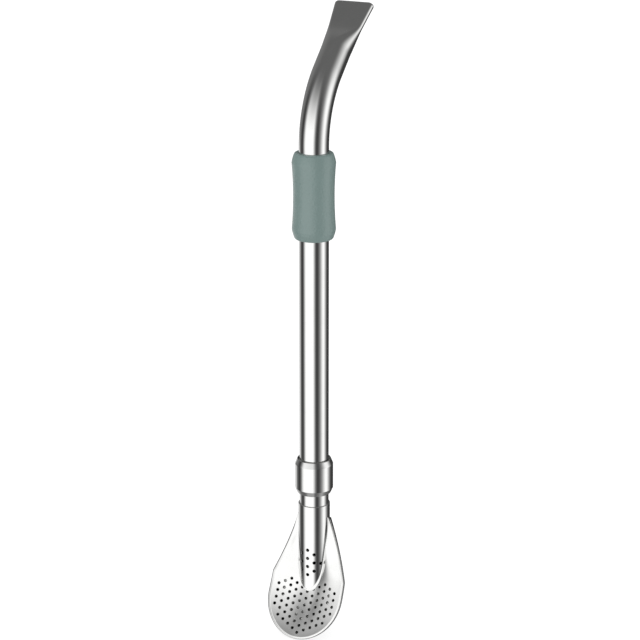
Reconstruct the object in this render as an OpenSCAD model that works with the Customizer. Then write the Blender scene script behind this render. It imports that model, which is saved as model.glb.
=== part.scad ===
// Spoon bombilla: a bent drinking straw with a soft grip, joined by a union nut to a perforated spoon strainer.
// Millimetres. The straight tube runs along Z, the spoon faces -Y and the mouthpiece bends toward +Y.
// The origin is on the tube's axis, halfway along its bare straight stretch.

/* [Straw] */
// Outer diameter of the straw tube
tube_od = 8; // [7:0.1:10]
// Wall of the straw tube
tube_wall = 0.5; // [0.4:0.05:0.8]
// Bare straight tube between the grip and the union nut
bare_len = 62.5; // [45:0.5:90]
// Straight tube that shows above the grip, before the bend
bend_lead = 1; // [0.5:0.1:6]
// Radius of the bend, at the tube's axis
bend_radius = 25; // [20:0.5:40]
// Angle of the bend from upright
bend_angle = 48.7; // [20:0.1:60]
// Straight run of the mouthpiece after the bend
mouth_run = 23.5; // [18:0.1:35]
// Width of the flattened mouth
mouth_width = 11.4; // [9:0.1:12]
// Thickness of the flattened mouth
mouth_thick = 2; // [1.8:0.1:3.2]
// Stretch before the lip over which the tube widens
widen_len = 16.6; // [12:0.1:18]
// First part of that stretch, in which the tube is pressed flat
press_len = 9; // [5:0.5:12]

/* [Grip] */
// Length of the soft grip
grip_len = 23.4; // [18:0.2:40]
// Largest diameter, near both ends
grip_od = 11.75; // [11.4:0.05:15]
// Diameter at the waist
grip_waist_od = 11; // [10.8:0.05:11.4]
// Diameter of the end faces
grip_end_od = 10.2; // [9.6:0.1:10.8]
// Length of each tapered end
grip_taper_len = 2.7; // [1.5:0.1:4]
// Clearance between the grip's bore and the tube, each side
grip_clear = 0.02; // [0.01:0.01:0.05]

/* [Union] */
// Outer diameter of the union nut
nut_od = 10.46; // [10:0.02:12]
// Length of the union nut
nut_len = 9.8; // [9:0.1:14]
// Height of the nut's upper chamfer
nut_top_chamfer = 1.5; // [0.5:0.1:2]
// Height of the nut's lower chamfer
nut_low_chamfer = 1.4; // [0.5:0.1:2]
// Width of the narrow land at each end of the nut
nut_land = 0.2; // [0.1:0.05:0.4]
// Floor of the nut, which pulls on the stem's flange
nut_floor = 1.3; // [1:0.1:2]
// Wall of the threaded bush on the straw's end
bush_wall = 0.37; // [0.3:0.01:0.45]
// Length of the threaded bush
bush_len = 6.5; // [3:0.1:6.6]
// Clearance of the thread and of the nut on the stem, each side
turn_clear = 0.05; // [0.02:0.01:0.08]
// Thickness of the stem's flange
flange_t = 1; // [0.6:0.1:1.4]
// Gap around the stem's flange inside the nut
flange_gap = 0.12; // [0.08:0.02:0.2]
// Thickness of the seal ring
seal_t = 0.8; // [0.5:0.1:1.2]
// How far the seal ring stays inside the flange's edge
seal_inset = 0.1; // [0.05:0.05:0.3]

/* [Neck] */
// Bare stem between the nut and the neck
stem_bare = 3.2; // [1:0.1:8]
// Wall of the neck tube, which slips over the stem
neck_wall = 0.36; // [0.3:0.02:0.6]
// Neck above the spoon's shoulders
neck_rise = 4; // [2:0.1:8]
// How far the stem reaches into the neck
stem_lap = 5.8; // [4:0.1:7]
// How far below the shoulders the neck's back is cut open
neck_back_cut = 4.2; // [3:0.1:6]
// How far below the shoulders the neck's front ends
neck_front_cut = 20.6; // [20:0.1:21]

/* [Spoon] */
// How far the spoon's top edge laps around the neck
shoulder_lap = 0.3; // [0.2:0.05:0.5]
// Forward tilt of the spoon from the tube
spoon_tilt = 21.3; // [15:0.1:25]
// Length of the spoon along its face
spoon_len = 34.6; // [34:0.1:36]
// Half width where the straight shoulders end
kink_half = 10.88; // [10:0.02:12]
// Distance from the top to the end of the straight shoulders
kink_v = 17.2; // [15:0.1:18]
// Largest half width
wide_half = 11; // [10.8:0.02:12.4]
// Distance from the top to the widest place
wide_v = 22.8; // [22:0.1:24]
// Radius of the dish, which is part of a sphere
dish_radius = 38; // [34:0.5:44]
// Depth of the dish behind the spoon's chord
dish_depth = 3.7; // [3.4:0.1:4]
// Distance from the top to the dish's deepest place
dish_v = 17.3; // [16:0.1:19]
// Depth of the back shell behind the rim's chord
back_depth = 7.6; // [7:0.1:9]
// Distance from the top to the deepest place of the back
back_v = 13; // [10:0.5:16]
// Thickness of the dish and of the back shell
sheet_t = 0.5; // [0.4:0.05:0.6]

/* [Strainer] */
// Diameter of every strainer hole
hole_d = 0.95; // [0.7:0.05:1.1]
// Spacing of the columns of holes in the dish
column_pitch = 1.7; // [1.5:0.02:1.8]
// Distance from the last hole of the middle column to the spoon's tip
tip_margin = 1.82; // [1.6:0.02:2.2]
// Distance from the spoon's top to the first hole of the middle column
first_hole_v = 21.5; // [21.2:0.1:22]
// Spacing of the holes along the neck
neck_hole_pitch = 2.46; // [2:0.02:2.6]
// Distance from the shoulders to the first neck hole
neck_hole_drop = 8.9; // [8:0.1:10]
// Angle between the neck's columns of holes
neck_column_angle = 25; // [20:1:30]

/* [Hidden] */
$fn = 96;
eps = 0.01;

// Heights along the tube, from the grip down to the spoon
grip_low_z = bare_len / 2;
grip_top_z = grip_low_z + grip_len;
bend_z = grip_top_z + bend_lead;
nut_top_z = -bare_len / 2;
nut_low_z = nut_top_z - nut_len;
floor_z = nut_low_z + nut_floor;
flange_top_z = floor_z + flange_t;
straw_low_z = flange_top_z + seal_t;
neck_top_z = nut_low_z - stem_bare;
shoulder_z = neck_top_z - neck_rise;

// Radii
tube_r = tube_od / 2;
bore_r = tube_r - tube_wall;
bush_r = tube_r + bush_wall;
nut_bore_r = bush_r + turn_clear;
nut_r = nut_od / 2;
flange_r = nut_bore_r - flange_gap;
neck_r = tube_r + neck_wall;

// Half width of the spoon at its top edge
top_half = neck_r + shoulder_lap;

// Mouthpiece: its path is the bend's arc, then a straight run
bend_path = bend_radius * bend_angle * PI / 180;
mouth_path = bend_path + mouth_run;
mouth_rings = 32;
mouth_sides = 32;
// Bow of the grip's tapered ends: 1 is a plain cone, 2 a full curve
taper_bow = 1.25;
// The mouthpiece's wall stays this far inside the straight tube's end face
seam = 0.02;

// Numbers of holes in the dish's columns and their first rows, from the middle column outward
column_counts = [7, 7, 7, 7, 6, 4];
column_starts = [0, -0.5, -1, -1.5, -1, -0.5];
// Spacing of the holes along a column: the middle column fills the face below the neck
row_pitch = (spoon_len - tip_margin - first_hole_v) / (column_counts[0] - 1);
// Pitches from the first neck hole down to the single hole at each side
side_hole_step = 1.6;
hole_sides = 24;

// Spoon lofts
shoulder_steps = 10;
side_steps = 4;
tip_steps = 12;
tip_stop = 86;
back_steps = 20;
back_fullness = 0.9;

// A solid skinned over closed sections with the same number of points.
// Its ends are flat, or the last section joins the first and makes a hollow ring.
module loft(sections, closed = false) {
    rows = len(sections);
    sides = len(sections[0]);
    points = [for (section = sections) each section];
    walls = [
        for (i = [0:rows - (closed ? 1 : 2)], j = [0:sides - 1])
            let (next = ((i + 1) % rows) * sides, right = (j + 1) % sides, here = i * sides)
            each [[here + j, here + right, next + right], [here + j, next + right, next + j]]
    ];
    first_end = [for (j = [0:sides - 1]) sides - 1 - j];
    last_end = [for (j = [0:sides - 1]) (rows - 1) * sides + j];
    polyhedron(points, closed ? walls : concat(walls, [first_end, last_end]), convexity = 8);
}

function raised(x, power) = sign(x) * pow(abs(x), power);

// Mouthpiece path: angle from upright, and place in the YZ plane, at a distance along it
function path_angle(s) = min(s / bend_path, 1) * bend_angle;
function path_place(s) =
    let (turn = path_angle(s), rest = max(s - bend_path, 0))
    [bend_radius * (1 - cos(turn)) + rest * sin(turn), bend_z + bend_radius * sin(turn) + rest * cos(turn)];

// Width and thickness of the mouthpiece at a distance along the path: it widens evenly and is pressed smoothly
function past_widening(s) = max(s - (mouth_path - widen_len), 0);
function mouth_w(s) = tube_od + (mouth_width - tube_od) * past_widening(s) / widen_len;
function mouth_t(s) =
    let (share = min(past_widening(s) / press_len, 1))
    tube_od - (tube_od - mouth_thick) * share * share * (3 - 2 * share);

// Section of the mouthpiece, inset from its outside: two flats joined by half rounds
function mouth_section(s, inset) =
    let (
        place = path_place(s),
        turn = path_angle(s),
        half_w = mouth_w(s) / 2 - inset,
        half_t = mouth_t(s) / 2 - inset
    )
    [
        for (k = [0:mouth_sides - 1])
            let (
                a = 360 * k / mouth_sides,
                across = (half_w - half_t) * sign(cos(a)) + half_t * cos(a),
                out = half_t * sin(a)
            )
            [across, place[0] + out * cos(turn), place[1] - out * sin(turn)]
    ];

// The hollow mouthpiece: rings outside from the lip down to the bend's start, then back up inside
module mouthpiece() {
    outside = [for (i = [mouth_rings:-1:0]) mouth_section(mouth_path * i / mouth_rings, seam)];
    inside = [for (i = [0:mouth_rings]) mouth_section(mouth_path * i / mouth_rings, tube_wall - 2 * seam)];
    loft(concat(outside, inside), true);
}

module tube(outer_r, inner_r, low_z, high_z) {
    translate([0, 0, low_z])
        difference() {
            cylinder(r = outer_r, h = high_z - low_z);
            translate([0, 0, -eps])
                cylinder(r = inner_r, h = high_z - low_z + 2 * eps);
        }
}

module straw_tube() {
    color("silver") {
        tube(tube_r, bore_r, straw_low_z, bend_z);
        mouthpiece();
    }
}

// Outer radius of the grip at a distance from its middle: a waist, with bowed tapers at its ends
function grip_radius(z) =
    let (
        body = grip_len / 2 - grip_taper_len,
        into_end = max(abs(z) - body, 0) / grip_taper_len,
        barrel = grip_waist_od / 2 + (grip_od - grip_waist_od) / 2 * pow(min(abs(z) / body, 1), 2)
    )
    grip_end_od / 2 + (barrel - grip_end_od / 2) * (1 - pow(into_end, taper_bow));

module grip_sleeve() {
    steps = 16;
    end_steps = 6;
    half = grip_len / 2;
    body = half - grip_taper_len;
    heights = concat(
        [for (k = [0:end_steps - 1]) -half + grip_taper_len * k / end_steps],
        [for (k = [0:steps]) body * (2 * k / steps - 1)],
        [for (k = [end_steps - 1:-1:0]) half - grip_taper_len * k / end_steps]
    );
    color([0.55, 0.62, 0.58])
        translate([0, 0, grip_low_z + half])
        rotate_extrude()
        polygon(concat(
            [[tube_r + grip_clear, -half]],
            [for (z = heights) [grip_radius(z), z]],
            [[tube_r + grip_clear, half]]
        ));
}

module thread_bush() {
    color("silver")
        tube(bush_r, tube_r, straw_low_z, straw_low_z + bush_len);
}

module union_nut() {
    stem_hole_r = tube_r + turn_clear;
    color("silver")
        rotate_extrude()
        polygon([
            [stem_hole_r, nut_low_z],
            [nut_bore_r + nut_land, nut_low_z],
            [nut_r, nut_low_z + nut_low_chamfer],
            [nut_r, nut_top_z - nut_top_chamfer],
            [nut_bore_r + nut_land, nut_top_z],
            [nut_bore_r, nut_top_z],
            [nut_bore_r, floor_z],
            [stem_hole_r, floor_z]
        ]);
}

module seal_ring() {
    color([0.25, 0.26, 0.26])
        tube(flange_r - seal_inset, bore_r, flange_top_z, straw_low_z);
}

module filter_stem() {
    color("silver") {
        tube(tube_r, bore_r, neck_top_z - stem_lap, floor_z);
        tube(flange_r, bore_r, floor_z, flange_top_z);
    }
}

// Takes points of the spoon's own frame to their place: u across, v down the face, h out of the face
function spoon_place(u, v, h) =
    [u, -v * sin(spoon_tilt) - h * cos(spoon_tilt), shoulder_z - v * cos(spoon_tilt) + h * sin(spoon_tilt)];

module on_spoon(u, v) {
    translate(spoon_place(u, v, 0))
        rotate([90 - spoon_tilt, 0, 0])
        children();
}

// The rim: half width and height out of the chord, at a distance down the face
function rim_half(v) =
    v < kink_v ? top_half + (kink_half - top_half) * v / kink_v
    : v < wide_v ? kink_half + (wide_half - kink_half) * sin(90 * (v - kink_v) / (wide_v - kink_v))
    : wide_half * sqrt(max(1 - pow((v - wide_v) / (spoon_len - wide_v), 2), 0));

// Height of the dish's face, and of its rim, out of the chord
function dish_height(u, v) =
    dish_radius - dish_depth - sqrt(dish_radius * dish_radius - u * u - pow(v - dish_v, 2));
function rim_height(v) = dish_height(rim_half(v), v);

// Stations down the face: the shoulders, the sides, then the round tip
stations = concat(
    [for (k = [0:shoulder_steps - 1]) kink_v * k / shoulder_steps],
    [for (k = [0:side_steps - 1]) kink_v + (wide_v - kink_v) * k / side_steps],
    [for (k = [0:tip_steps]) wide_v + (spoon_len - wide_v) * sin(tip_stop * k / tip_steps)]
);

// Depth of the back shell behind the chord, hugging the neck at the top and closing on the rim at the bottom
function back_depth_at(v) =
    let (top_depth = top_half / cos(spoon_tilt))
    v < back_v ? back_depth - (back_depth - top_depth) * pow((back_v - v) / back_v, 2)
    : sqrt(max(1 - pow((v - back_v) / (spoon_len - back_v), 2), 0)) * back_depth;

// Section of the back shell, inset from its outside and reaching above its rim
function back_section(v, inset, above) =
    let (
        half = rim_half(v) - inset,
        rim_h = rim_height(v) - sheet_t,
        deep = max(back_depth_at(v) + rim_h, sheet_t) - inset
    )
    concat(
        [spoon_place(-half, v, rim_h + above), spoon_place(half, v, rim_h + above)],
        [spoon_place(half, v, rim_h)],
        [for (k = [1:back_steps - 1])
            let (a = 180 * k / back_steps)
            spoon_place(half * raised(cos(a), back_fullness), v, rim_h - deep * raised(sin(a), back_fullness))],
        [spoon_place(-half, v, rim_h)]
    );

// The neck as a solid rod: its back is cut on a slant that opens into the spoon's chamber
module neck_rod() {
    slant = atan(2 * neck_r / (neck_front_cut - neck_back_cut));
    difference() {
        translate([0, 0, shoulder_z - neck_front_cut])
            cylinder(r = neck_r, h = neck_front_cut + neck_rise);
        translate([0, neck_r, shoulder_z - neck_back_cut])
            rotate([-slant, 0, 0])
            translate([-2 * neck_r, 0, -2 * neck_front_cut])
            cube([4 * neck_r, 4 * neck_r, 2 * neck_front_cut]);
    }
}

module neck_tube() {
    color("silver")
        difference() {
            neck_rod();
            translate([0, 0, shoulder_z - spoon_len])
                cylinder(r = tube_r, h = 2 * spoon_len);
            neck_holes();
        }
}

module neck_hole(angle, drop) {
    translate([0, 0, shoulder_z - drop])
        rotate([0, 0, angle])
        rotate([90, 0, 0])
        translate([0, 0, tube_r - neck_wall])
        cylinder(d = hole_d, h = 4 * neck_wall, $fn = hole_sides);
}

module neck_holes() {
    for (k = [0:3])
        neck_hole(0, neck_hole_drop + k * neck_hole_pitch);
    for (side = [-1, 1]) {
        for (k = [0:2])
            neck_hole(side * neck_column_angle, neck_hole_drop + (k + 0.5) * neck_hole_pitch);
        neck_hole(side * 2 * neck_column_angle, neck_hole_drop + side_hole_step * neck_hole_pitch);
    }
}

module strainer_holes() {
    for (k = [-5:5], row = [0:column_counts[abs(k)] - 1]) {
        u = k * column_pitch;
        v = first_hole_v + (row + column_starts[abs(k)]) * row_pitch;
        on_spoon(u, v)
            translate([0, 0, dish_height(u, v) - 2 * sheet_t])
            cylinder(d = hole_d, h = 3 * sheet_t, $fn = hole_sides);
    }
}

// The ball whose hollow the dish follows, grown by a margin
module dish_ball(margin) {
    on_spoon(0, dish_v)
        translate([0, 0, dish_radius - dish_depth])
        sphere(r = dish_radius + margin);
}

// The spoon's outline, pushed through the dish along its face's normal
module outline_prism() {
    right = [for (v = stations) [rim_half(v), -v]];
    left = [for (k = [len(stations) - 1:-1:0]) [-rim_half(stations[k]), -stations[k]]];
    on_spoon(0, 0)
        translate([0, 0, -dish_depth - 2 * sheet_t])
        linear_extrude(2 * dish_depth)
        polygon(concat(right, left));
}

module strainer_dish() {
    color("silver")
        difference() {
            intersection() {
                dish_ball(sheet_t);
                outline_prism();
            }
            dish_ball(0);
            neck_rod();
            strainer_holes();
        }
}

module bowl_back() {
    cavity_stations = concat([-sheet_t], [for (v = stations) if (v < spoon_len - 2 * sheet_t) v]);
    color("silver")
        difference() {
            loft([for (v = stations) back_section(v, 0, sheet_t / 2)]);
            loft([for (v = cavity_stations) back_section(v, sheet_t, sheet_t)]);
            dish_ball(sheet_t);
            neck_rod();
        }
}

straw_tube();
grip_sleeve();
thread_bush();
union_nut();
seal_ring();
filter_stem();
neck_tube();
strainer_dish();
bowl_back();
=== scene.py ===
"""Looks of the spoon bombilla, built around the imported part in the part's own frame.

Sizes are written in millimetres and become metres when a mesh is finished.
"""

import logging
import math
from contextlib import contextmanager
from dataclasses import dataclass, field
from enum import Enum
from typing import Any, Callable, Iterator, Sequence

import bmesh
import bpy
from bmesh.types import BMesh
from bpy.types import Material, Mesh, Node, NodeSocket, NodeTree, Object
from mathutils import Matrix, Vector
from mathutils.geometry import delaunay_2d_cdt


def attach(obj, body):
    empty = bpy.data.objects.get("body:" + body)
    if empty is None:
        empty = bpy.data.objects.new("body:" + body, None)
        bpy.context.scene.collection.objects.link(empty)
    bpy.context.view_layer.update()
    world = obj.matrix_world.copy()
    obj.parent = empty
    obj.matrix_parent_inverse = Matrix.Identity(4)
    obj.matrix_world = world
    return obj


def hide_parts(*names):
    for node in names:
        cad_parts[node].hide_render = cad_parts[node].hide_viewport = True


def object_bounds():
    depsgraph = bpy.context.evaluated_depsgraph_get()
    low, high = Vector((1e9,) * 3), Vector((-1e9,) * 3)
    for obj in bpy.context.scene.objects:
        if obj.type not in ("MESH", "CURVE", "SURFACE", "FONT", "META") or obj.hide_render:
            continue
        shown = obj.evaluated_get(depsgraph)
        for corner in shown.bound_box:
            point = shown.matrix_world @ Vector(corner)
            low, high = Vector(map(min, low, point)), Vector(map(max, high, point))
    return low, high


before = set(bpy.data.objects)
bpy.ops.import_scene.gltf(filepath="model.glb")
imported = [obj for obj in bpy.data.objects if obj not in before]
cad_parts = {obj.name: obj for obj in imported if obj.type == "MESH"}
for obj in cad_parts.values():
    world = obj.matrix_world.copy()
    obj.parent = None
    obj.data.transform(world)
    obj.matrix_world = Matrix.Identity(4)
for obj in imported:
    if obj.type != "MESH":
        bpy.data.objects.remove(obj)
CAD_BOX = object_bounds()

LOG = logging.getLogger("bombilla")
MILLIMETRE = 0.001
FULL_TURN = 2.0 * math.pi
QUARTER = math.pi / 2.0
# Least length that is divided by
TINY = 1e-6

# Half of the bare tube between the grip and the nut. The origin is halfway along it.
HALF_BARE = 31.25
# Top edge of the spoon
SHOULDER_Z = -HALF_BARE - 17.0
# Thread of the bush and the nut
PITCH = 1.0
THREAD_DEPTH = 0.2

Flat = tuple[float, float]
Point = tuple[float, float, float]
Colour = tuple[float, float, float, float]


class Body(Enum):
    """The moving bodies of the part."""

    STRAW = "straw"
    GRIP = "grip"
    FILTER = "filter"
    NUT = "nut"


class Slot(Enum):
    """The material slots of the part."""

    POLISHED_STEEL = "polished_steel"
    SATIN_STEEL = "satin_steel"
    GRIP_SILICONE = "grip_silicone"
    SEAL_SILICONE = "seal_silicone"


def eased(x: float) -> float:
    """A smooth step from 0 to 1."""
    x = min(max(x, 0.0), 1.0)
    return x * x * (3.0 - 2.0 * x)


def spread(start: float, stop: float, steps: int) -> list[float]:
    """Evenly spread numbers from start up to, and without, stop."""
    return [start + (stop - start) * k / steps for k in range(steps)]


def through(start: float, stop: float, steps: int) -> list[float]:
    """Evenly spread numbers from start to stop, with both."""
    return [*spread(start, stop, steps), stop]


def halved(low: float, high: float, beyond: Callable[[float], bool], halvings: int = 50) -> float:
    """The place between low and high from which a test holds, found by halving."""
    for _ in range(halvings):
        middle = (low + high) / 2.0
        low, high = (low, middle) if beyond(middle) else (middle, high)
    return low


# Node trees


def add_node(tree: NodeTree, kind: str, links: dict[Any, Any], **settings: Any) -> Node:
    """Adds a node and fills its inputs.

    Args:
        tree: Tree that gets the node.
        kind: The node's type.
        links: Value, sum or socket for each input, by name or number.
        settings: Properties of the node, set before its inputs.

    Returns:
        The new node.
    """
    made = tree.nodes.new(kind)
    for key, value in settings.items():
        setattr(made, key, value)
    for key, value in links.items():
        source = value.socket if isinstance(value, Sum) else value
        if isinstance(source, NodeSocket):
            tree.links.new(source, made.inputs[key])
        else:
            made.inputs[key].default_value = source
    return made


def math_method(operation: str) -> Callable[..., "Sum"]:
    """A method of a sum that adds one kind of math node."""

    def method(first: "Sum", *others: Any) -> "Sum":
        """Works out the operation on a sum and what follows it."""
        return first.step(operation, *others)

    return method


class Sum:
    """A number inside a node tree, so that rules read as plain sums."""

    def __init__(self, tree: NodeTree, socket: NodeSocket) -> None:
        """Keeps the tree and the socket that gives the number."""
        self.tree = tree
        self.socket = socket

    def step(self, operation: str, *others: Any) -> "Sum":
        """Adds one math node for this number and those that follow it."""
        given = dict(enumerate((self, *others)))
        return Sum(self.tree, add_node(self.tree, "ShaderNodeMath", given, operation=operation).outputs[0])

    __add__ = math_method("ADD")
    __sub__ = math_method("SUBTRACT")
    __mul__ = math_method("MULTIPLY")
    __truediv__ = math_method("DIVIDE")
    least = math_method("MINIMUM")
    most = math_method("MAXIMUM")
    sine = math_method("SINE")
    cosine = math_method("COSINE")

    def share(self, ends: Sequence[Any]) -> "Sum":
        """Smooth share of the way from one end to the other that this has gone."""
        links = {"Value": self, "From Min": ends[0], "From Max": ends[1]}
        made = add_node(self.tree, "ShaderNodeMapRange", links, interpolation_type="SMOOTHSTEP")
        return Sum(self.tree, made.outputs[0])


Sockets = dict[str, Sequence[str]]


def new_group(kind: str, name: str, inputs: Sockets, outputs: Sockets) -> NodeTree:
    """Makes a node group with its sockets.

    Args:
        kind: Type of the tree.
        name: Name of the tree.
        inputs: Names of its inputs, by type.
        outputs: Names of its outputs, by type.

    Returns:
        The tree.
    """
    group = bpy.data.node_groups.new(name, kind)
    for way, sockets in (("INPUT", inputs), ("OUTPUT", outputs)):
        for socket, labels in sockets.items():
            for label in labels:
                group.interface.new_socket(name=label, in_out=way, socket_type="NodeSocket" + socket)
    return group


def placed(name: str, data: Any) -> Object:
    """A new object, put in the scene."""
    made = bpy.data.objects.new(name, data)
    bpy.context.scene.collection.objects.link(made)
    return made


def baked(carrier: Object) -> Mesh:
    """The mesh that an object's modifiers make. The object itself goes."""
    state = bpy.context.evaluated_depsgraph_get()
    made = bpy.data.meshes.new_from_object(carrier.evaluated_get(state))
    bpy.data.objects.remove(carrier)
    return made


# Points of a grown mesh closer than this become one
GROWN_WELD = 1e-4


class GrownTree:
    """A geometry tree with named size inputs that ends in realized, painted geometry."""

    def __init__(self, name: str, sizes: Sequence[str]) -> None:
        """Makes the tree, with its named sizes and the numbers of its rows and sides."""
        counts = ["Rows", "Sides"]
        given = {"Geometry": ["Geometry"], "Float": sizes, "Int": counts, "Material": ["Material"]}
        self.tree = new_group("GeometryNodeTree", name, given, {"Geometry": ["Geometry"]})
        self.entry = self.tree.nodes.new("NodeGroupInput")

    def given(self, name: str) -> Sum:
        """A named input as a number."""
        return Sum(self.tree, self.entry.outputs[name])

    def add(self, kind: str, links: dict[str, Any], **settings: Any) -> Node:
        """Adds a node to this tree."""
        return add_node(self.tree, kind, links, **settings)

    def rings(self) -> tuple[NodeSocket, Sum, Sum]:
        """Starts a grid to bend into rings.

        Returns:
            The grid's mesh, the share of the rows passed and the angle round the ring.
        """
        counts = {"Vertices X": self.given("Sides") + 1, "Vertices Y": self.given("Rows") + 1}
        grid = self.add("GeometryNodeMeshGrid", {"Size X": 1.0, "Size Y": 1.0, **counts})
        place = self.add("GeometryNodeInputPosition", {})
        parts = self.add("ShaderNodeSeparateXYZ", {"Vector": place.outputs[0]})
        angle = (Sum(self.tree, parts.outputs["X"]) + 0.5) * FULL_TURN
        return grid.outputs["Mesh"], Sum(self.tree, parts.outputs["Y"]) + 0.5, angle

    def bent(self, mesh: NodeSocket, x: Sum, y: Sum, z: Sum) -> NodeSocket:
        """Moves a mesh's points to where a rule puts them, and welds the seam."""
        place = self.add("ShaderNodeCombineXYZ", {"X": x, "Y": y, "Z": z})
        moved = self.add("GeometryNodeSetPosition", {"Geometry": mesh, "Position": place.outputs[0]})
        links = {"Geometry": moved.outputs[0], "Distance": GROWN_WELD}
        return self.add("GeometryNodeMergeByDistance", links).outputs[0]

    def station(self, share: Sum) -> Sum:
        """Number of the station that a row stands on. The last row is back on the first."""
        rows = self.given("Rows")
        return (share * rows).step("ROUND").step("MODULO", rows)

    def sampled(self, name: str, index: Sum) -> Sum:
        """A named value at a station."""
        named = self.add("GeometryNodeInputNamedAttribute", {"Name": name}, data_type="FLOAT")
        links = {"Geometry": self.entry.outputs["Geometry"], "Value": named.outputs[0], "Index": index}
        taken = self.add("GeometryNodeSampleIndex", links, data_type="FLOAT", domain="POINT")
        return Sum(self.tree, taken.outputs[0])

    def close(self, geometry: NodeSocket) -> None:
        """Ends the tree: smooth, realized, painted."""
        smooth = self.add("GeometryNodeSetShadeSmooth", {"Geometry": geometry})
        real = self.add("GeometryNodeRealizeInstances", {"Geometry": smooth.outputs[0]})
        links = {"Geometry": real.outputs[0], "Material": self.entry.outputs["Material"]}
        painted = self.add("GeometryNodeSetMaterial", links)
        self.add("NodeGroupOutput", {"Geometry": painted.outputs[0]})

    def grow(
        self, points: Sequence[Point], layers: dict[str, Sequence[float]], values: dict[str, Any]
    ) -> Mesh:
        """Runs the tree on a set of points.

        Args:
            points: The points that the tree starts from.
            layers: Named values for each point.
            values: Values for the tree's named inputs.

        Returns:
            The result as a plain mesh, in millimetres.
        """
        seed = bpy.data.meshes.new(self.tree.name)
        seed.from_pydata(points, [], [])
        for name, numbers in layers.items():
            seed.attributes.new(name, "FLOAT", "POINT").data.foreach_set("value", list(numbers))
        carrier = placed(self.tree.name, seed)
        modifier = carrier.modifiers.new(self.tree.name, "NODES")
        modifier.node_group = self.tree
        for item in self.tree.interface.items_tree:
            if item.in_out == "INPUT" and item.name in values:
                modifier[item.identifier] = values[item.name]
        return baked(carrier)


def turned_tree() -> GrownTree:
    """A tree that spins a closed profile, with a thread cut where the profile asks for one."""
    tree = GrownTree("turned_piece", ["Pitch", "Thread depth"])
    mesh, share, angle = tree.rings()
    index = tree.station(share)
    height = tree.sampled("height", index)
    phase = height / tree.given("Pitch") * FULL_TURN - angle
    groove = (phase.cosine() * 0.5 + 0.5) * tree.given("Thread depth") * tree.sampled("thread", index)
    reach = tree.sampled("reach", index) - groove
    tree.close(tree.bent(mesh, reach * angle.cosine(), reach * angle.sine(), height))
    return tree


def straw_tree(sizes: Sequence[str]) -> GrownTree:
    """A tree that sweeps a tube along a straight, a bend and a straight, and flattens it to the mouth."""
    tree = GrownTree("swept_straw", sizes)
    mesh, share, angle = tree.rings()
    index = tree.station(share)
    along = tree.sampled("along", index)
    inset = tree.sampled("inset", index)
    radius = tree.given("Bend radius")
    bend_path = radius * tree.given("Bend angle")
    mouth_path = bend_path + tree.given("Mouth run")
    turn = (along / bend_path).most(0.0).least(1.0) * tree.given("Bend angle")
    rest = (along - bend_path).most(0.0)
    past = (along - mouth_path + tree.given("Widen length")).most(0.0)
    wide = (past / tree.given("Widen length")).least(1.0)
    soft = tree.given("Soft start")
    wide = wide * wide * (soft + 1.0) / (wide + soft)
    pressed = (past / tree.given("Press length")).least(1.0)
    pressed = pressed * pressed * (pressed * -2.0 + 3.0)
    tube = tree.given("Tube")
    width = tube + (tree.given("Mouth width") - tube) * wide
    thickness = tube + (tree.given("Mouth thickness") - tube) * pressed
    corner = tree.given("Lip corner")
    into_lip = ((along - mouth_path) / corner + 1.0).most(0.0).least(1.0)
    trim = ((into_lip * into_lip * -1.0 + 1.0).step("POWER", 0.5) * -1.0 + 1.0) * corner
    half_flat = (width - thickness) * 0.5 - trim
    bow = thickness * 0.5 - inset
    across = angle.cosine().step("SIGN") * half_flat + angle.cosine() * bow
    out = angle.sine() * bow
    back = (turn.cosine() * -1.0 + 1.0) * radius + rest * turn.sine() + out * turn.cosine()
    up = tree.given("Bend start") + radius * turn.sine() + rest * turn.cosine() + along.least(0.0)
    tree.close(tree.bent(mesh, across, back, up - out * turn.sine()))
    return tree


def punched_tree() -> GrownTree:
    """A tree that sets a round-edged hole wall on each point of a flat sheet."""
    tree = GrownTree("punched_holes", ["Hole radius", "Edge", "Sheet"])
    mesh, share, angle = tree.rings()
    slope = share * math.pi - QUARTER
    reach = tree.given("Hole radius") + tree.given("Edge") * (slope.cosine() * -1.0 + 1.0)
    depth = (slope.sine() - 1.0) * tree.given("Sheet") * 0.5
    wall = tree.bent(mesh, reach * angle.cosine(), reach * angle.sine(), depth)
    points = tree.add("GeometryNodeMeshToPoints", {"Mesh": tree.entry.outputs["Geometry"]})
    links = {"Points": points.outputs[0], "Instance": wall}
    tree.close(tree.add("GeometryNodeInstanceOnPoints", links).outputs[0])
    return tree


# Meshes


@contextmanager
def edited(mesh: Mesh) -> Iterator[BMesh]:
    """Opens a mesh for changes, and writes them back."""
    work = bmesh.new()
    work.from_mesh(mesh)
    yield work
    work.to_mesh(mesh)
    work.free()


def keep_outward(work: BMesh) -> None:
    """Turns a closed mesh round if it is inside out."""
    if work.calc_volume(signed=True) < 0.0:
        bmesh.ops.reverse_faces(work, faces=work.faces)


def face_outward(work: BMesh) -> None:
    """Turns each face of a closed mesh outward."""
    bmesh.ops.recalc_face_normals(work, faces=work.faces)
    keep_outward(work)
    work.normal_update()


def finished(name: str, mesh: Mesh, material: Material) -> Object:
    """Turns a mesh in millimetres into a piece.

    Args:
        name: The piece's name.
        mesh: Its mesh, closed, in millimetres.
        material: Its finish.

    Returns:
        The piece, at the origin, in metres, facing outward.
    """
    with edited(mesh) as work:
        keep_outward(work)
    mesh.transform(Matrix.Scale(MILLIMETRE, 4))
    mesh.name = name
    mesh.materials.clear()
    mesh.materials.append(material)
    mesh.polygons.foreach_set("use_smooth", [True] * len(mesh.polygons))
    mesh.update()
    return placed(name, mesh)


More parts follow.
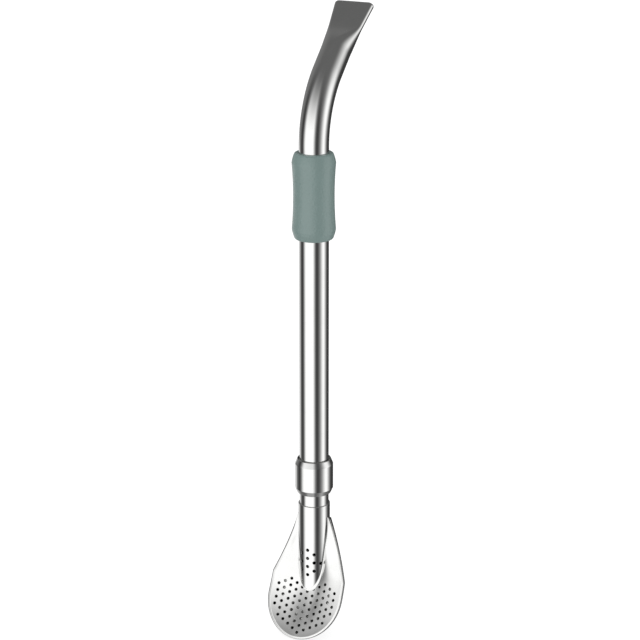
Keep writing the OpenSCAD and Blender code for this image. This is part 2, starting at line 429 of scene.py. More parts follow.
def hand_over(piece: Object, body: Body, slot: Slot, node: str) -> None:
    """Puts a piece on its body, hides the CAD node that it stands for, and reports it."""
    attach(piece, body.value)
    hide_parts(node)
    LOG.info("%s: %d faces, on %s", piece.name, len(piece.data.polygons), body.value)


# Distance from a rounding to the point that keeps the straight beside it straight
SUPPORT = 0.05
# Shorter straights need no such points
SUPPORTED_RUN = 4.0 * SUPPORT


def rounded_profile(corners: Sequence[Point], steps: int = 6) -> list[Flat]:
    """Rounds the corners of a closed profile, and holds its straights.

    Args:
        corners: Reach, height and rounding radius of each corner.
        steps: Steps of each rounding.

    Returns:
        Points of the rounded profile.
    """
    arcs: list[list[Flat]] = []
    for place, (reach, height, radius) in enumerate(corners):
        here = Vector((reach, height))
        before = (Vector(corners[place - 1][:2]) - here).normalized()
        after = (Vector(corners[(place + 1) % len(corners)][:2]) - here).normalized()
        half = before.angle(after) / 2.0
        start = here + before * (radius / math.tan(half))
        stop = here + after * (radius / math.tan(half))
        centre = here + (before + after).normalized() * (radius / math.sin(half))
        arc = []
        for k in range(steps + 1):
            mixed = start.lerp(stop, k / steps)
            arc.append(tuple(centre + (mixed - centre).normalized() * radius))
        arcs.append(arc)
    points: list[Flat] = []
    for place, arc in enumerate(arcs):
        ahead = Vector(arcs[(place + 1) % len(arcs)][0])
        last = Vector(arc[-1])
        points += arc
        run = (ahead - last).length
        if run > SUPPORTED_RUN:
            points += [tuple(last.lerp(ahead, SUPPORT / run)), tuple(ahead.lerp(last, SUPPORT / run))]
    return points


@dataclass
class Lathe:
    """Spins profiles into pieces with one shared tree."""

    tree: GrownTree
    sides: int = 128

    def spin(
        self, name: str, profile: Sequence[Flat], material: Material, threads: Sequence[float] = ()
    ) -> Object:
        """Spins a closed profile round the tube's axis.

        Args:
            name: The piece's name.
            profile: Reach and height of each point.
            material: The piece's finish.
            threads: Share of the thread at each point, or nothing.

        Returns:
            The piece.
        """
        layers = {
            "reach": [p[0] for p in profile],
            "height": [p[1] for p in profile],
            "thread": list(threads) or [0.0] * len(profile),
        }
        counts = {"Rows": len(profile), "Sides": self.sides}
        values = {"Pitch": PITCH, "Thread depth": THREAD_DEPTH, **counts, "Material": material}
        mesh = self.tree.grow([(p[0], 0.0, p[1]) for p in profile], layers, values)
        return finished(name, mesh, material)


def inside(point: Flat, loop: Sequence[Flat]) -> bool:
    """True if a flat point lies inside a closed loop."""
    within = False
    x, y = point
    for place, (bx, by) in enumerate(loop):
        ax, ay = loop[place - 1]
        if (ay > y) != (by > y) and x < (bx - ax) * (y - ay) / (by - ay) + ax:
            within = not within
    return within


HOLE_SIDES = 24
HOLE_ROWS = 10
# How far through the sheet a rolled edge goes, just short of its underside
EDGE_SHARE = 0.998
# A triangle whose middle is within this share of a hole's edge lies in the hole
HOLE_SHARE = 0.97
# Points of the flat face closer than this are one point
SAME_POINT = 1e-6
# Points of the flat sheet closer than this become one
SHEET_WELD = 2e-3
# A point this close to a side of the sheet lies on it
SIDE_GAP = 1e-4
# Height of a row of even triangles, for sides of 1
ROW_RISE = math.sqrt(0.75)


@dataclass
class PunchedSheet:
    """A sheet with rounded edges and punched holes, made flat and then bent to its place."""

    outline: Sequence[Flat]
    inner: Sequence[Flat]
    holes: Sequence[Flat]
    hole_radius: float
    hole_edge: float
    thickness: float
    open_edges: set[int] = field(default_factory=set)
    extra: Sequence[Flat] = ()
    spacing: float = 0.6
    clearance: float = 0.45
    edge_rows: int = 8

    def is_clear(self, point: Flat) -> bool:
        """True if a point lies on the face, clear of its edge and its holes."""
        room = self.clearance * self.spacing
        reach = self.hole_radius + self.hole_edge + room
        if any(math.dist(point, hole) <= reach for hole in self.holes):
            return False
        return all(math.dist(point, edge) > room for edge in self.inner) and inside(point, self.inner)

    def fill_points(self) -> list[Flat]:
        """Evenly spread points on the face, clear of its edge and its holes."""
        xs = [p[0] for p in self.inner]
        ys = [p[1] for p in self.inner]
        found: list[Flat] = []
        row = 0
        y = min(ys)
        while y < max(ys):
            x = min(xs) + (0.5 * self.spacing if row % 2 else 0.0)
            while x < max(xs):
                if self.is_clear((x, y)):
                    found.append((x, y))
                x += self.spacing
            y += self.spacing * ROW_RISE
            row += 1
        return found

    def face(self) -> tuple[list[Flat], list[tuple[int, ...]]]:
        """Points and triangles of the flat face."""
        points = [Vector(p) for p in self.inner]
        edges = [(k, (k + 1) % len(points)) for k in range(len(points))]
        reach = self.hole_radius + self.hole_edge
        for u, v in self.holes:
            first = len(points)
            for k, a in enumerate(spread(0.0, FULL_TURN, HOLE_SIDES)):
                points.append(Vector((u + reach * math.cos(a), v + reach * math.sin(a))))
                edges.append((first + k, first + (k + 1) % HOLE_SIDES))
        points += [Vector(p) for p in (*self.fill_points(), *self.extra)]
        made, _, triangles, *_ = delaunay_2d_cdt(points, edges, [], 0, SAME_POINT)
        kept = []
        for triangle in triangles:
            centre = sum((made[k] for k in triangle), Vector((0.0, 0.0))) / 3.0
            blocked = any(math.dist(centre, hole) < reach * HOLE_SHARE for hole in self.holes)
            if not blocked and inside(tuple(centre), self.inner):
                kept.append(tuple(triangle))
        return [tuple(p) for p in made], kept

    def add_edge(self, work: BMesh) -> None:
        """Adds the edge that rolls from the face down to the outline, and closes it below."""
        turns = through(0.0, QUARTER, self.edge_rows)
        steps = [(1.0 - math.sin(a), EDGE_SHARE * (math.cos(a) - 1.0) * self.thickness) for a in turns]
        steps.append((1.0, -self.thickness))
        rows = []
        for pull, depth in steps:
            row = []
            for (ox, oy), (ix, iy) in zip(self.outline, self.inner):
                row.append(work.verts.new((ox + (ix - ox) * pull, oy + (iy - oy) * pull, depth)))
            rows.append(row)
        count = len(self.outline)
        for low, high in zip(rows, rows[1:]):
            for k in range(count):
                if k not in self.open_edges:
                    after = (k + 1) % count
                    work.faces.new((low[k], low[after], high[after], high[k]))

    def build(
        self,
        punch: GrownTree,
        material: Material,
        place: Callable[[float, float, float], Point],
        facing: Callable[[float, float], Vector],
    ) -> tuple[Mesh, list[Vector]]:
        """Makes the sheet flat, bends it and works out its normals.

        Args:
            punch: Tree that makes the hole walls.
            material: The sheet's finish.
            place: Where a flat point with a height above the face goes.
            facing: The face's outward direction at a flat point.

        Returns:
            The bent mesh in millimetres, and a normal for each of its points.
        """
        work = bmesh.new()
        points, triangles = self.face()
        for depth in (0.0, -self.thickness):
            level = [work.verts.new((x, y, depth)) for x, y in points]
            for triangle in triangles:
                work.faces.new([level[k] for k in triangle])
        self.add_edge(work)
        sizes = {"Hole radius": self.hole_radius, "Edge": self.hole_edge, "Sheet": self.thickness}
        values = {**sizes, "Rows": HOLE_ROWS, "Sides": HOLE_SIDES, "Material": material}
        work.from_mesh(punch.grow([(u, v, 0.0) for u, v in self.holes], {}, values))
        bmesh.ops.remove_doubles(work, verts=work.verts, dist=SHEET_WELD)
        loose = [v for v in work.verts if not v.link_faces]
        bmesh.ops.delete(work, geom=loose, context="VERTS")
        known: dict[int, Vector] = {}
        work.verts.index_update()
        for vert in work.verts:
            x, y, depth = vert.co
            if abs(depth) < SIDE_GAP:
                known[vert.index] = facing(x, y)
            elif abs(depth + self.thickness) < SIDE_GAP:
                known[vert.index] = -facing(x, y)
            vert.co = place(x, y, depth)
        face_outward(work)
        normals = [known.get(v.index, v.normal.copy()) for v in work.verts]
        mesh = bpy.data.meshes.new("punched_sheet")
        work.to_mesh(mesh)
        work.free()
        return mesh, normals


def dressed_normals(piece: Object, normals: Sequence[Vector]) -> None:
    """Gives a piece its true normals, so that its sheet shades as one smooth surface."""
    piece.data.normals_split_custom_set_from_vertices([tuple(n) for n in normals])


def skin(rows: Sequence[Sequence[Point]], ring: bool) -> Mesh:
    """Joins rows of points into a skin.

    Args:
        rows: Rows with the same number of points.
        ring: True if each row closes on itself, with flat ends.

    Returns:
        The mesh.
    """
    count = len(rows[0])
    points = [p for row in rows for p in row]
    faces: list[tuple[int, ...]] = []
    for i in range(len(rows) - 1):
        for j in range(count if ring else count - 1):
            right = (j + 1) % count
            faces.append((i * count + j, i * count + right, (i + 1) * count + right, (i + 1) * count + j))
    if ring:
        faces.append(tuple(range(count - 1, -1, -1)))
        faces.append(tuple((len(rows) - 1) * count + j for j in range(count)))
    mesh = bpy.data.meshes.new("skin")
    mesh.from_pydata(points, [], faces)
    return mesh


# Finishes


def mixed_rough(group: NodeTree, entry: Node, marks: Sum) -> Sum:
    """Roughness between the group's least and most, by how strong its marks are."""
    least = Sum(group, entry.outputs["Least"])
    return least + (Sum(group, entry.outputs["Most"]) - least) * marks


def handling_marks(haze_share: float = 0.6) -> NodeTree:
    """A shader group for metal: polishing lines and the haze that hands leave."""
    inputs = {"Vector": ["Vector", "Stretch"], "Float": ["Haze scale", "Least", "Most"]}
    group = new_group("ShaderNodeTree", "handling_marks", inputs, {"Float": ["Roughness", "Lines", "Haze"]})
    entry = group.nodes.new("NodeGroupInput")
    place = entry.outputs["Vector"]
    cloudy = {"Vector": place, "Scale": entry.outputs["Haze scale"], "Detail": 4.0, "Roughness": 0.6}
    cloud = add_node(group, "ShaderNodeTexNoise", cloudy).outputs[0]
    clearer = {"Value": cloud, "From Min": 0.3, "From Max": 0.7}
    haze = add_node(group, "ShaderNodeMapRange", clearer).outputs[0]
    across = {0: place, 1: entry.outputs["Stretch"]}
    stretched = add_node(group, "ShaderNodeVectorMath", across, operation="MULTIPLY").outputs[0]
    fine = {"Vector": stretched, "Scale": 1.0, "Detail": 2.0}
    lines = add_node(group, "ShaderNodeTexNoise", fine).outputs[0]
    marks = Sum(group, haze) * haze_share + Sum(group, lines) * (1.0 - haze_share)
    ends = {"Roughness": mixed_rough(group, entry, marks), "Lines": lines, "Haze": haze}
    add_node(group, "NodeGroupOutput", ends)
    return group


def moulded_grain() -> NodeTree:
    """A shader group for moulded silicone: a fine matte grain and a slow change of shade."""
    inputs = {"Vector": ["Vector"], "Float": ["Grain scale", "Shade scale", "Least", "Most"]}
    group = new_group("ShaderNodeTree", "moulded_grain", inputs, {"Float": ["Grain", "Shade", "Roughness"]})
    entry = group.nodes.new("NodeGroupInput")
    fine = {"Vector": entry.outputs["Vector"], "Scale": entry.outputs["Grain scale"], "Detail": 3.0}
    grain = add_node(group, "ShaderNodeTexNoise", fine).outputs[0]
    slow = {"Vector": entry.outputs["Vector"], "Scale": entry.outputs["Shade scale"], "Detail": 2.0}
    shade = add_node(group, "ShaderNodeTexNoise", slow).outputs[0]
    rough = mixed_rough(group, entry, Sum(group, shade))
    add_node(group, "NodeGroupOutput", {"Grain": grain, "Shade": shade, "Roughness": rough})
    return group


def new_material(name: str) -> tuple[Material, NodeTree, Node]:
    """Starts a material: itself, its tree and its Principled shader."""
    material = bpy.data.materials.new(name)
    material.use_nodes = True
    tree = material.node_tree
    return material, tree, tree.nodes["Principled BSDF"]


# Sockets of a colour mix
MIX_FIRST = 6
MIX_SECOND = 7
MIX_RESULT = 2


@dataclass(frozen=True)
class Finish:
    """What every finish has: two shades that run into each other, and a range of roughness."""

    name: str
    pale: Colour
    deep: Colour
    least_rough: float
    most_rough: float

    def dressed(
        self, group: NodeTree, given: dict[str, Any], shade: str, relief: str, depth: float
    ) -> tuple[Material, Node]:
        """Builds a material on a shader group.

        Args:
            group: The group.
            given: Values for its inputs, apart from the place and the roughness.
            shade: Its output that mixes the two shades.
            relief: Its output that raises the surface.
            depth: Depth of the relief.

        Returns:
            The material and its Principled shader.
        """
        material, tree, shader = new_material(self.name)
        place = tree.nodes.new("ShaderNodeTexCoord").outputs["Object"]
        links = {"Vector": place, "Least": self.least_rough, "Most": self.most_rough, **given}
        marks = add_node(tree, "ShaderNodeGroup", links, node_tree=group)
        shades = {"Factor": marks.outputs[shade], MIX_FIRST: self.pale, MIX_SECOND: self.deep}
        tint = add_node(tree, "ShaderNodeMix", shades, data_type="RGBA")
        raised = {"Height": marks.outputs[relief], "Strength": 1.0, "Distance": depth}
        bump = add_node(tree, "ShaderNodeBump", raised)
        tree.links.new(tint.outputs[MIX_RESULT], shader.inputs["Base Color"])
        tree.links.new(marks.outputs["Roughness"], shader.inputs["Roughness"])
        tree.links.new(bump.outputs[0], shader.inputs["Normal"])
        return material, shader


@dataclass(frozen=True)
class SteelFinish(Finish):
    """A stainless steel finish."""

    stretch: Point
    haze_scale: float
    line_depth: float

    def material(self, group: NodeTree) -> Material:
        """Builds the finish's material on the handling marks."""
        given = {"Stretch": self.stretch, "Haze scale": self.haze_scale}
        material, shader = self.dressed(group, given, "Haze", "Lines", self.line_depth)
        shader.inputs["Metallic"].default_value = 1.0
        return material


@dataclass(frozen=True)
class SiliconeFinish(Finish):
    """A moulded silicone finish."""

    grain_scale: float
    grain_depth: float
    sheen: float
    shade_scale: float = 220.0

    def material(self, group: NodeTree) -> Material:
        """Builds the finish's material on the moulded grain."""
        given = {"Grain scale": self.grain_scale, "Shade scale": self.shade_scale}
        material, shader = self.dressed(group, given, "Shade", "Grain", self.grain_depth)
        shader.inputs["IOR"].default_value = 1.41
        shader.inputs["Specular IOR Level"].default_value = 1.0
        shader.inputs["Sheen Weight"].default_value = self.sheen
        return material


STEEL: Colour = (0.90, 0.90, 0.89, 1.0)
HAZY_STEEL: Colour = (0.86, 0.86, 0.85, 1.0)
MATT_STEEL: Colour = (0.85, 0.85, 0.84, 1.0)
BACK_STEEL: Colour = (0.66, 0.66, 0.65, 1.0)
HAZY_BACK: Colour = (0.62, 0.62, 0.61, 1.0)
SAGE: Colour = (0.170, 0.236, 0.224, 1.0)
DEEP_SAGE: Colour = (0.156, 0.218, 0.207, 1.0)
BLACK: Colour = (0.06, 0.062, 0.062, 1.0)
DEEP_BLACK: Colour = (0.045, 0.047, 0.047, 1.0)

STEELS = (
    SteelFinish("drawn_steel", STEEL, HAZY_STEEL, 0.035, 0.08, (5200.0, 5200.0, 90.0), 260.0, 4e-7),
    SteelFinish("turned_steel", STEEL, HAZY_STEEL, 0.04, 0.09, (160.0, 160.0, 9000.0), 300.0, 6e-7),
    SteelFinish("satin_steel", STEEL, MATT_STEEL, 0.13, 0.18, (3000.0, 3000.0, 3000.0), 240.0, 6e-7),
    SteelFinish("brushed_steel", BACK_STEEL, HAZY_BACK, 0.07, 0.12, (400.0, 4000.0, 400.0), 260.0, 5e-7),
)
SILICONES = (
    SiliconeFinish("sage_silicone", SAGE, DEEP_SAGE, 0.20, 0.26, 1900.0, 1.4e-4, 0.05),
    SiliconeFinish("dark_silicone", BLACK, DEEP_BLACK, 0.45, 0.6, 4200.0, 5e-6, 0.0),
)


@dataclass
class Finishes:
    """The materials, built once, in the order of the steels and the silicones."""

    drawn: Material
    turned: Material
    satin: Material
    brushed: Material
    sage: Material
    dark: Material


def build_finishes() -> Finishes:
    """Builds both groups and every material."""
    marks = handling_marks()
    grain = moulded_grain()
    steels = [steel.material(marks) for steel in STEELS]
    return Finishes(*steels, *(silicone.material(grain) for silicone in SILICONES))


# The part's sub-assemblies


@dataclass
class Straw:
    """The bent straw and the threaded bush on its lower end."""

    tube_d: float = 8.0
    wall: float = 0.5
    low_z: float = -HALF_BARE - 6.7
    bend_z: float = HALF_BARE + 24.4
    bend_radius: float = 25.0
    bend_angle: float = math.radians(48.7)
    mouth_run: float = 23.5
    mouth_width: float = 11.4
    mouth_thick: float = 2.0
    widen_len: float = 16.6
    press_len: float = 9.0
    soft_start: float = 0.06
    lip_round: float = 0.25
    lip_corner: float = 0.8
    bush_r: float = 4.37
    bush_len: float = 6.5
    bush_chamfer: float = 0.18
    straight_steps: int = 12
    mouth_steps: int = 64
    lip_steps: int = 10
    thread_steps: int = 96
    sides: int = 128

    def stations(self) -> list[Flat]:
        """Distance along the path and inset from the outside, up the outside and back down the inside."""
        end = self.bend_radius * self.bend_angle + self.mouth_run - self.lip_round
        start = self.low_z - self.bend_z + self.lip_round
        corner = end + self.lip_round - self.lip_corner
        rises = spread(start, 0.0, self.straight_steps) + spread(0.0, corner, self.mouth_steps)
        rises += through(corner, end, self.lip_steps)
        turns = spread(0.0, math.pi, self.lip_steps)[1:]
        outside = [(s, 0.0) for s in rises]
        lip = [(end + self.lip_round * math.sin(a), self.lip_round * (1.0 - math.cos(a))) for a in turns]
        inside_wall = [(s, self.wall) for s in reversed(rises)]
        foot = [(start - self.lip_round * math.sin(a), self.lip_round * (1.0 + math.cos(a))) for a in turns]
        return outside + lip + inside_wall + foot

    def build_tube(self, finish: Finishes) -> None:
        """Sweeps the straw."""
        sizes = {
            "Tube": self.tube_d,
            "Bend start": self.bend_z,
            "Bend radius": self.bend_radius,
            "Bend angle": self.bend_angle,
            "Mouth run": self.mouth_run,
            "Mouth width": self.mouth_width,
            "Mouth thickness": self.mouth_thick,
            "Widen length": self.widen_len,
            "Press length": self.press_len,
            "Soft start": self.soft_start,
            "Lip corner": self.lip_corner,
        }
        stations = self.stations()
        values = {**sizes, "Rows": len(stations), "Sides": self.sides, "Material": finish.drawn}
        layers = {"along": [s for s, _ in stations], "inset": [i for _, i in stations]}
        mesh = straw_tree(list(sizes)).grow([(0.0, 0.0, s) for s, _ in stations], layers, values)
        piece = finished("straw", mesh, finish.drawn)
        hand_over(piece, Body.STRAW, Slot.POLISHED_STEEL, "straw_tube")

    def build_bush(self, finish: Finishes, lathe: Lathe) -> None:
        """Turns the bush, with its thread running out at both ends."""
        inner = self.tube_d / 2.0
        root = self.bush_r - THREAD_DEPTH
        high = self.low_z + self.bush_len
        first = self.low_z + self.bush_chamfer
        last = high - self.bush_chamfer
        crest = [(self.bush_r, z) for z in through(first, last, self.thread_steps)]
        profile = [(inner, self.low_z), (root, self.low_z), *crest, (root, high), (inner, high)]
        threads = [0.0, 0.0] + [1.0] * len(crest) + [0.0, 0.0]
        piece = lathe.spin("thread_ring", profile, finish.turned, threads)
        hand_over(piece, Body.STRAW, Slot.POLISHED_STEEL, "thread_bush")


@dataclass
class Grip:
    """The waisted silicone sleeve."""

    low_z: float = HALF_BARE
    length: float = 23.4
    bore_r: float = 4.02
    most_r: float = 5.875
    waist_r: float = 5.5
    end_r: float = 5.1
    taper_len: float = 2.8
    taper_bow: float = 1.45
    edge_round: float = 0.45
    bore_round: float = 0.2
    body_steps: int = 40
    taper_steps: int = 12
    edge_steps: int = 10
    bore_steps: int = 6

    def radius(self, z: float) -> float:
        """Outer radius at a distance from the middle."""
        half = self.length / 2.0
        body = half - self.taper_len
        into_end = max(abs(z) - body, 0.0) / self.taper_len
        barrel = self.waist_r + (self.most_r - self.waist_r) * min(abs(z) / body, 1.0) ** 2
        taper = self.end_r + (barrel - self.end_r) * (1.0 - into_end ** self.taper_bow)
        into_edge = max(abs(z) - half + self.edge_round, 0.0) / self.edge_round
        return taper - self.edge_round * (1.0 - math.sqrt(max(1.0 - into_edge * into_edge, 0.0)))

    def build(self, finish: Finishes, lathe: Lathe) -> None:
        """Turns the sleeve: tapered ends, a soft lip at the bore and a bare waist."""
        half = self.length / 2.0
        body = half - self.taper_len
        edge = half - self.edge_round
        rises = spread(0.0, body, self.body_steps) + spread(body, edge, self.taper_steps)
        turns = through(0.0, QUARTER, self.edge_steps)
        rises += [edge + self.edge_round * math.sin(a) for a in turns]
        upper = [(self.radius(z), z) for z in rises]
        for a in through(0.0, QUARTER, self.bore_steps):
            reach = self.bore_r + self.bore_round * (1.0 - math.sin(a))
            upper.append((reach, half - self.bore_round * (1.0 - math.cos(a))))
        lower = [(r, -z) for r, z in reversed(upper[1:])]
        middle = self.low_z + half
        profile = [(r, middle + z) for r, z in lower + upper]
        piece = lathe.spin("grip", profile, finish.sage)
        hand_over(piece, Body.GRIP, Slot.GRIP_SILICONE, "grip_sleeve")


@dataclass
class Nut:
    """The chamfered union nut, with its inner thread."""

    top_z: float = -HALF_BARE
    low_z: float = -HALF_BARE - 9.8
    outer_r: float = 5.23
    bore_r: float = 4.42
    stem_r: float = 4.05
    land: float = 0.2
    top_chamfer: float = 1.5
    low_chamfer: float = 1.4
    floor: float = 1.3
    thread_low: float = -HALF_BARE - 6.3
    thread_high: float = -HALF_BARE - 0.5
    thread_steps: int = 110
    fade: float = 0.5
    corner_round: float = 0.1
    land_round: float = 0.06
    bore_round: float = 0.05
    inner_round: float = 0.04

    def build(self, finish: Finishes, lathe: Lathe) -> None:
        """Turns the nut, with a thread that fades in and out along its bore."""
        floor_z = self.low_z + self.floor
        land_r = self.bore_r + self.land
        corners = [
            (self.stem_r, self.low_z, self.inner_round),
            (land_r, self.low_z, self.land_round),
            (self.outer_r, self.low_z + self.low_chamfer, self.corner_round),
            (self.outer_r, self.top_z - self.top_chamfer, self.corner_round),
            (land_r, self.top_z, self.land_round),
            (self.bore_r, self.top_z, self.bore_round),
            (self.bore_r, floor_z, self.inner_round),
            (self.stem_r, floor_z, self.inner_round),
        ]
        turned = rounded_profile(corners)
        above = [k for k, (reach, z) in enumerate(turned) if z > self.thread_high and reach < land_r]
        before = turned[:max(above) + 1]
        after = turned[max(above) + 1:]
        drops = through(self.thread_high, self.thread_low, self.thread_steps)
        cut = [eased(min(self.thread_high - z, z - self.thread_low) / self.fade) for z in drops]
        profile = before + [(self.bore_r, z) for z in drops] + after
        threads = [0.0] * len(before) + cut + [0.0] * len(after)
        piece = lathe.spin("nut", profile, finish.turned, threads)
        hand_over(piece, Body.NUT, Slot.POLISHED_STEEL, "union_nut")


@dataclass
class Spoon:
    """Shape of the spoon: u runs across it, v down its face and h out of its face."""

    shoulder_z: float = SHOULDER_Z
    tilt: float = math.radians(21.3)
    sheet: float = 0.5

    # Outline
    length: float = 34.585
    top_half: float = 4.66
    kink_half: float = 10.88
    kink_v: float = 17.2
    wide_half: float = 11.0
    wide_v: float = 22.8
    flank_steps: int = 28
    cheek_steps: int = 10
    tip_steps: int = 36

    # Ball that the dish is part of, and the lobes pressed up beside the neck
    dish_radius: float = 38.0
    dish_depth: float = 3.7
    dish_v: float = 17.3
    lobe: float = 0.9
    lobe_v: float = 9.0
    lobe_fade: float = 14.0

    # Slight waves of the pressed sheet, as slopes that only its normals have
    trough_slope: float = 0.335
    trough_rise: float = 0.08
    rise_v: float = 12.0
    rise_run: float = 6.0
    left_share: float = 0.55
    trough_start: float = 0.33
    trough_width: float = 0.9
    trough_narrow: float = 0.18
    trough_end: float = 24.0
    trough_fade: float = 12.0
    middle_slope: float = 0.06
    side_slope: float = 0.14
    tip_slope: float = 0.26
    tip_v: float = 26.5

    # Rim: its rounding, and the flat lip inside it
    rim_round: float = 0.45
    round_share: float = 0.39
    least_round: float = 0.06
    round_v: float = 5.0
    lip: float = 0.5
    lip_v: float = 4.5
    lip_bend: float = 0.2
    lip_lean: float = 0.12

    # Back shell
    back_depth: float = 7.6
    back_v: float = 13.0
    back_fullness: float = 0.9

    def turn(self, u: float, v: float, h: float) -> Vector:
        """A direction of the spoon in the part's frame."""
        sine, cosine = math.sin(self.tilt), math.cos(self.tilt)
        return Vector((u, -v * sine - h * cosine, -v * cosine + h * sine))

    def place(self, u: float, v: float, h: float) -> Point:
        """A point of the spoon in the part's frame."""
        return tuple(self.turn(u, v, h) + Vector((0.0, 0.0, self.shoulder_z)))

    def rim_half(self, v: float) -> float:
        """Half width at a distance down the face."""
        if v < self.kink_v:
            return self.top_half + (self.kink_half - self.top_half) * v / self.kink_v
        if v < self.wide_v:
            share = (v - self.kink_v) / (self.wide_v - self.kink_v)
            return self.kink_half + (self.wide_half - self.kink_half) * math.sin(QUARTER * share)
        share = (v - self.wide_v) / (self.length - self.wide_v)
        return self.wide_half * math.sqrt(max(1.0 - share * share, 0.0))

    def dish_height(self, u: float, v: float, below: float = 0.0) -> float:
        """Height of the dish out of the chord, or of a layer below its face."""
        ball = (self.dish_radius + below) ** 2
        hollow = self.dish_radius - self.dish_depth - math.sqrt(ball - u * u - (v - self.dish_v) ** 2)
        return hollow + self.lobe_height(u, v)

    def lobe_height(self, u: float, v: float) -> float:
        """How far the press raised the sheet beside the neck, on both sides of the middle."""
        across = math.sin(math.pi * min(abs(u) / max(self.rim_half(v), TINY), 1.0)) ** 2
        along = eased(v / self.lobe_v) * (1.0 - eased((v - self.lobe_v) / self.lobe_fade))
        return self.lobe * across * along

    def dish_place(self, u: float, v: float, above: float = 0.0) -> Point:
        """A point of the dish's face, or above it."""
        return self.place(u, v, self.dish_height(u, v, -above))

    def dish_facing(self, u: float, v: float) -> Vector:
        """Outward direction of the dish's face, with its slight waves and its flat lip."""
        step = 0.01
        along_u = (self.dish_height(u + step, v) - self.dish_height(u - step, v)) / (2.0 * step)
        along_v = (self.dish_height(u, v + step) - self.dish_height(u, v - step)) / (2.0 * step)
        share = min(abs(u) / max(self.rim_half(v), step), 1.0)
        width = self.trough_width - self.trough_narrow * eased((v - self.lobe_fade) / self.trough_fade)
        trough = eased(share / self.trough_start) * (1.0 - share / width) * eased(v / self.lobe_v)
        deep = self.trough_slope * (1.0 - eased((v - self.trough_end) / self.trough_fade))
        trough *= deep + self.trough_rise * (1.0 - eased((v - self.rise_v) / self.rise_run))
        along_u += trough if u > 0.0 else -trough * self.left_share
        aside = eased(2.0 * share)
        along_v -= self.side_slope * aside * eased((v - self.lobe_v) / self.lobe_v)
        along_v -= self.tip_slope * (1.0 - aside) * eased((v - self.tip_v) / self.lobe_v)
        along_v += self.middle_slope * (1.0 - aside) * eased((v - self.kink_v) / self.lobe_v)
        gap, out_u, out_v = self.rim_gap(u, v)
        flat = (1.0 - eased((gap - self.lip_at(u)) / self.lip_bend)) * eased((v - self.lip_v) / self.lobe_v)
        along_u += (-self.lip_lean * out_u - along_u) * flat
        along_v += (-self.lip_lean * out_v - along_v) * flat
        return self.turn(-along_u, -along_v, 1.0).normalized()

    def round_at(self, u: float) -> float:
        """Width of the rim's rounding, which is fuller on the left."""
        return self.rim_round - self.round_share * u / self.wide_half

    def edge_at(self, u: float, v: float) -> float:
        """Width of the rim's rounding, which fades toward the shoulders."""
        return self.least_round + (self.round_at(u) - self.least_round) * eased(v / self.round_v)

    def lip_at(self, u: float) -> float:
        """Distance from the rim to the inner edge of its flat lip."""
        return max(self.round_at(u), self.lip)

    def rim_gap(self, u: float, v: float) -> Point:
        """About how far a point of the face is inside the rim, and the way out to it."""
        if v < self.wide_v:
            lean = (self.kink_half - self.top_half) / self.kink_v if v < self.kink_v else 0.0
            steep = math.hypot(1.0, lean)
            return (self.rim_half(v) - abs(u)) / steep, math.copysign(1.0, u) / steep, -lean / steep
        across = u / self.wide_half
        down = (v - self.wide_v) / (self.length - self.wide_v)
        out_u = across / self.wide_half
        out_v = down / (self.length - self.wide_v)
        steep = max(math.hypot(out_u, out_v), TINY)
        return 0.5 * (1.0 - across ** 2 - down ** 2) / steep, out_u / steep, out_v / steep

    def rim(self) -> list[Flat]:
        """The rim from the right shoulder round the tip to the left shoulder."""
        stops = spread(0.0, self.kink_v, self.flank_steps)
        stops += spread(self.kink_v, self.wide_v, self.cheek_steps)
        turns = through(0.0, QUARTER, self.tip_steps)
        stops += [self.wide_v + (self.length - self.wide_v) * math.sin(a) for a in turns]
        right = [(self.rim_half(v), v) for v in stops]
        return right + [(-u, v) for u, v in reversed(right[:-1])]

    def depth_at(self, v: float) -> float:
        """Depth of the back below the chord."""
        top = self.top_half / math.cos(self.tilt)
        if v < self.back_v:
            return self.back_depth - (self.back_depth - top) * ((self.back_v - v) / self.back_v) ** 2
        share = (v - self.back_v) / (self.length - self.back_v)
        return self.back_depth * math.sqrt(max(1.0 - share * share, 0.0))

    def back_place(self, u: float, v: float, on_rim: bool) -> Point:
        """A point of the back shell's outside."""
        half = self.rim_half(v)
        rim_h = self.dish_height(half, v, self.sheet)
        if on_rim:
            return self.place(u, v, rim_h)
        deep = max(self.depth_at(v) + rim_h, self.sheet)
        ratio = min(abs(u) / max(half, TINY), 1.0)
        angle = math.acos(ratio ** (1.0 / self.back_fullness))
        return self.place(u, v, rim_h - deep * math.sin(angle) ** self.back_fullness)


